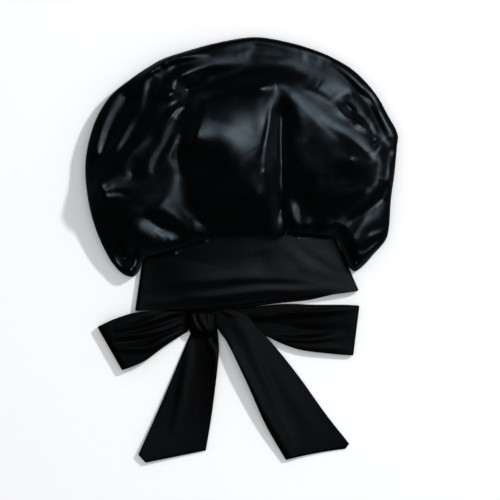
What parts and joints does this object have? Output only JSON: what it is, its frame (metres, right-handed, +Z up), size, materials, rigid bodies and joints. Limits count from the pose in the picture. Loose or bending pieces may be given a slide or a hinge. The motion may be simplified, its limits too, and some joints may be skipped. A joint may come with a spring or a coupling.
{
  "type": "satin bonnet",
  "caption": "Satin sleep bonnet lying on its back: a hollow gathered crown in a wide stretch band, tied with a strap in a bow with two loops and two tails.",
  "frame": {"origin": "middle of the plan, on the surface the bonnet lies on", "axes": "+Y from the bow to the top of the crown, +X to the right as seen from above, +Z up off the surface"},
  "size_m": [0.3364, 0.458, 0.0734],
  "materials": {
    "satin": "glossy black satin weave with a cool sheen",
    "band": "matte black stretch jersey",
    "strap": "matte black stretch jersey"
  },
  "bodies": {
    "root": {"crown": "satin", "band": "band", "knot": "strap", "bow_loop_left": "strap", "bow_loop_right": "strap", "tail_left": "strap", "tail_right": "strap"}
  },
  "joints": []
}
